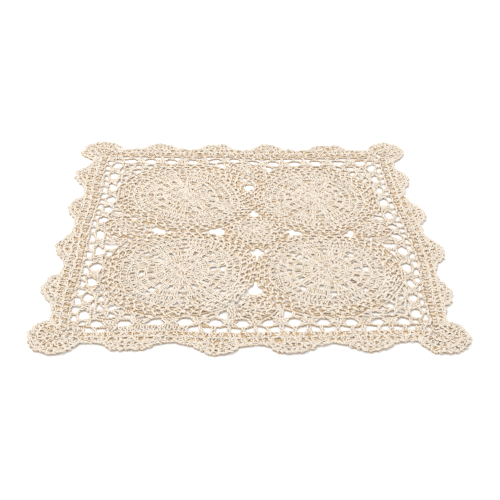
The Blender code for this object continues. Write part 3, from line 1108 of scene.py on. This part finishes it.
def yarn_material(yarn):
    """Cotton yarn: plies laid round each other, soft fibres, and a tint that wanders over the cloth, with
    painted shade in the grooves between the plies and on the yarn that lies low between the stitches.
    """
    found = bpy.data.materials.get(YARN_FINISH)
    if found:
        return found
    finish = Finish(YARN_FINISH)
    spot = finish.add("ShaderNodeTexCoord").outputs["Object"]
    around, along, _ = finish.parts(finish.add("ShaderNodeUVMap", uv_map=TWIST_MAP).outputs["UV"])
    turn = 2 * math.pi * yarn.plies
    twist = finish.maths(
        "ADD", finish.maths("MULTIPLY", around, turn), finish.maths("MULTIPLY", along, turn / yarn.lay))
    ply = finish.maths("MULTIPLY_ADD", finish.maths("SINE", twist), 0.5, 0.5)
    fibre = finish.noise(spot, yarn.fibre_scale, FIBRE_DETAIL)
    tint = finish.noise(spot, yarn.tint_scale, TINT_DETAIL)

    height = finish.maths("ADD", ply, finish.maths("MULTIPLY", fibre, FIBRE_HEIGHT))
    bump = finish.fill(finish.add("ShaderNodeBump"), {
        "Strength": BUMP_STRENGTH, "Distance": BUMP_DEPTH, "Height": height})

    # Painted shade in the grooves between the plies, with the random tint, turns the cotton towards the
    # darker groove colour.
    share = finish.maths(
        "ADD", finish.maths("MULTIPLY", ply, PLY_SHARE), finish.maths("MULTIPLY", tint, TINT_SHARE))
    cotton = finish.mixed(share, (*yarn.groove_shade_and_tint_colour, 1.0), (*yarn.colour, 1.0))
    # Painted shade: by the yarn's height over the table, lower yarn turns to the darker, browner shade
    # colour.
    depth = finish.fill(finish.add("ShaderNodeMapRange", interpolation_type="SMOOTHSTEP"), {
        "Value": finish.parts(spot)[2], "From Min": yarn.full_shade_below, "From Max": yarn.no_shade_above})

    finish.fill(finish.shader, {
        "Base Color": finish.mixed(depth["Result"], (*yarn.painted_shade_colour, 1.0), cotton),
        "Normal": bump["Normal"],
        "Roughness": yarn.roughness,
        "Specular IOR Level": YARN_SPECULAR,
        "Sheen Weight": yarn.sheen,
        "Sheen Roughness": SHEEN_ROUGHNESS,
        "Sheen Tint": (*yarn.sheen_tint, 1.0),
        "Subsurface Weight": yarn.glow,
        "Subsurface Radius": (1.0, 1.0, 1.0),
        "Subsurface Scale": yarn.glow_depth,
    })
    return finish.material


def amount(name, description, default, **more):
    """A setting that is a number or, where told, an angle or a length."""
    return FloatProperty(name=name, description=description, default=default, **more)


def triple(name, description, default, subtype):
    """A setting that is a colour, a place or a direction."""
    return FloatVectorProperty(name=name, description=description, default=default, subtype=subtype)


class YarnSettings(PropertyGroup):
    thickness: amount("Thickness", "Across the yarn", 0.00172, unit="LENGTH")
    pressed: amount("Pressed", "Height of the yarn beside its thickness", 0.47)
    stray: amount("Stray", "How far a hand-made stitch strays", 0.0002, unit="LENGTH")
    sides: IntProperty(name="Sides", description="Faces round the yarn", default=5, min=3)
    plies: IntProperty(name="Plies", description="Strands twisted into the yarn", default=3)
    lay: amount("Lay", "Yarn for one full twist of its plies", 0.0042, unit="LENGTH")
    colour: triple("Colour", "Cotton in the light", (0.885, 0.80, 0.70), "COLOR")
    # Painted shade: the grooves between the plies are given the next colour, which is also the darker end of
    # the random tint.
    groove_shade_and_tint_colour: triple("Groove shade and tint", "Painted shade between the plies, and the darker tint", (0.86, 0.74, 0.60), "COLOR")
    # Painted shade: the lower the yarn lies, the more it takes the next, darker and browner colour, for the
    # shade that falls down between the stitches; the two heights after it set where that starts and ends.
    painted_shade_colour: triple("Painted shade colour", "Painted shade down between the stitches", (0.68, 0.49, 0.295), "COLOR")
    full_shade_below: amount("Full shade below", "Height under which the painted shade is full", 0.00095, unit="LENGTH")
    no_shade_above: amount("No shade above", "Height over which there is no painted shade", 0.0019, unit="LENGTH")
    roughness: amount("Roughness", "Of the cotton", 0.9)
    fibre_scale: amount("Fibre scale", "Fibres in a metre", 2600.0)
    tint_scale: amount("Tint scale", "Changes of tint in a metre", 90.0)
    sheen: amount("Sheen", "Soft shine of the fibres", 0.04)
    sheen_tint: triple("Sheen tint", "Colour of that shine", (1.0, 0.92, 0.80), "COLOR")
    glow: amount("Glow", "Light that passes through the cotton", 0.3)
    glow_depth: amount("Glow depth", "How far it passes", 0.0009, unit="LENGTH")


class StageSettings(PropertyGroup):
    camera_at: triple("Camera", "Place of the camera", (-0.0002, -0.7213, 0.4692), "TRANSLATION")
    camera_toward: triple(
        "Camera direction", "Where the camera looks", (0.0064, 0.824, -0.5666), "DIRECTION")
    camera_roll: amount("Camera roll", "Tilt of the camera to its left", math.radians(0.71), subtype="ANGLE")
    lens: amount("Lens", "Focal length in millimetres", 58.47)
    floor_size: amount("Floor", "Side of the floor", 12.0, unit="LENGTH")
    floor_colour: triple("Floor colour", "Plain pale floor", (0.92, 0.92, 0.92), "COLOR")
    sky: amount("Room light", "Even light from all round", 0.95)
    key: amount("Key light", "Watts of the large soft light", 16.0)
    key_at: triple("Key light place", "Place of the large soft light", (-0.55, 0.9, 1.5), "TRANSLATION")
    key_size: FloatVectorProperty(
        name="Key light size", description="Its width and height", default=(1.4, 1.0), size=2,
        unit="LENGTH")


class CROCHET_OT_medallions(Operator):
    """Works the four round medallions"""
    bl_idname = "crochet.medallions"
    bl_label = "Medallions"

    def execute(self, context):
        yarn = context.scene.crochet_yarn
        material = yarn_material(yarn)
        for number, (node, side_x, side_y, turn, bare, *joins) in enumerate(MEDALLIONS):
            work = medallion_work(side_x, side_y, turn, bare, joins, MEDALLION_SEED + number, yarn)
            yarn_piece(node.replace("medallion", "medallion_stitches"), [node], work, yarn, material)
        return {"FINISHED"}


class CROCHET_OT_rosettes(Operator):
    """Works the centre rosette and the four side rosettes"""
    bl_idname = "crochet.rosettes"
    bl_label = "Rosettes"

    def execute(self, context):
        yarn = context.scene.crochet_yarn
        material = yarn_material(yarn)
        work = centre_rosette_work(CENTRE_SEED, yarn)
        yarn_piece("rosette_stitches_centre", ["rosette_centre"], work, yarn, material)
        for quarter, side in enumerate(SIDES):
            work = side_rosette_work(quarter, SIDE_SEED + quarter, yarn)
            yarn_piece("rosette_stitches_" + side, ["rosette_" + side], work, yarn, material)
        return {"FINISHED"}


class CROCHET_OT_border(Operator):
    """Works the net border round the medallions"""
    bl_idname = "crochet.border"
    bl_label = "Net border"

    def execute(self, context):
        yarn = context.scene.crochet_yarn
        work = net_border_work(BORDER_SEED, yarn)
        yarn_piece("border_stitches", ["net_border"], work, yarn, yarn_material(yarn))
        return {"FINISHED"}


class CROCHET_OT_edging(Operator):
    """Works the two plain rows and the fans of the edging, one side at a time"""
    bl_idname = "crochet.edging"
    bl_label = "Shell edging"

    def execute(self, context):
        yarn = context.scene.crochet_yarn
        material = yarn_material(yarn)
        for quarter, side in enumerate(SIDES):
            work = shell_edging_work(quarter, EDGING_SEED + quarter, yarn)
            yarn_piece("edging_stitches_" + side, ["shell_edging"], work, yarn, material)
        return {"FINISHED"}


class CROCHET_OT_stage(Operator):
    """Sets out the floor, the lights and the camera"""
    bl_idname = "crochet.stage"
    bl_label = "Stage"

    def execute(self, context):
        scene, stage = context.scene, context.scene.crochet_stage
        bpy.ops.mesh.primitive_plane_add(size=stage.floor_size, location=(0.0, 0.0, 0.0))
        floor = context.object
        floor.name = "floor"
        paint = Finish("floor_paint")
        paint.fill(paint.shader, {
            "Base Color": (*stage.floor_colour, 1.0),
            "Roughness": FLOOR_ROUGHNESS,
            "Specular IOR Level": FLOOR_SPECULAR,
        })
        floor.data.materials.append(paint.material)

        world = bpy.data.worlds.new("room")
        world.use_nodes = True
        world.node_tree.nodes["Background"].inputs["Strength"].default_value = stage.sky
        world.node_tree.nodes["Background"].inputs["Color"].default_value = (1.0, 1.0, 1.0, 1.0)
        scene.world = world

        lamp = bpy.data.lights.new("softbox", "AREA")
        lamp.energy = stage.key
        lamp.shape = "RECTANGLE"
        lamp.size, lamp.size_y = stage.key_size
        holder = bpy.data.objects.new("softbox", lamp)
        scene.collection.objects.link(holder)
        holder.location = stage.key_at
        toward = -Vector(stage.key_at)
        holder.rotation_euler = toward.to_track_quat("-Z", "Y").to_euler()

        view = bpy.data.cameras.new("camera")
        view.lens = stage.lens
        view.sensor_width = SENSOR_WIDTH
        camera = bpy.data.objects.new("camera", view)
        scene.collection.objects.link(camera)
        camera.location = stage.camera_at
        aim = Vector(stage.camera_toward).to_track_quat("-Z", "Y").to_matrix()
        camera.rotation_euler = (aim @ Matrix.Rotation(stage.camera_roll, 3, "Z")).to_euler()
        scene.camera = camera
        scene.view_settings.view_transform = "Standard"
        return {"FINISHED"}


class CROCHET_PT_panel(Panel):
    """Lists the pieces of the tablecloth"""
    bl_idname = "CROCHET_PT_panel"
    bl_label = "Crochet Tablecloth"
    bl_space_type = "VIEW_3D"
    bl_region_type = "UI"
    bl_category = "Crochet"

    def draw(self, context):
        for operator in OPERATORS:
            self.layout.operator(operator.bl_idname)
        for settings in (context.scene.crochet_yarn, context.scene.crochet_stage):
            for name in settings.bl_rna.properties.keys():
                if name not in ("rna_type", "name"):
                    self.layout.prop(settings, name)


OPERATORS = (
    CROCHET_OT_medallions,
    CROCHET_OT_rosettes,
    CROCHET_OT_border,
    CROCHET_OT_edging,
    CROCHET_OT_stage,
)
CLASSES = (YarnSettings, StageSettings, *OPERATORS, CROCHET_PT_panel)


def register():
    for kind in CLASSES:
        bpy.utils.register_class(kind)
    bpy.types.Scene.crochet_yarn = PointerProperty(type=YarnSettings)
    bpy.types.Scene.crochet_stage = PointerProperty(type=StageSettings)


def unregister():
    del bpy.types.Scene.crochet_stage
    del bpy.types.Scene.crochet_yarn
    for kind in reversed(CLASSES):
        bpy.utils.unregister_class(kind)


def main():
    register()
    bpy.ops.crochet.stage()
    bpy.ops.crochet.medallions()
    bpy.ops.crochet.rosettes()
    bpy.ops.crochet.border()
    bpy.ops.crochet.edging()


if __name__ == "__main__":
    main()
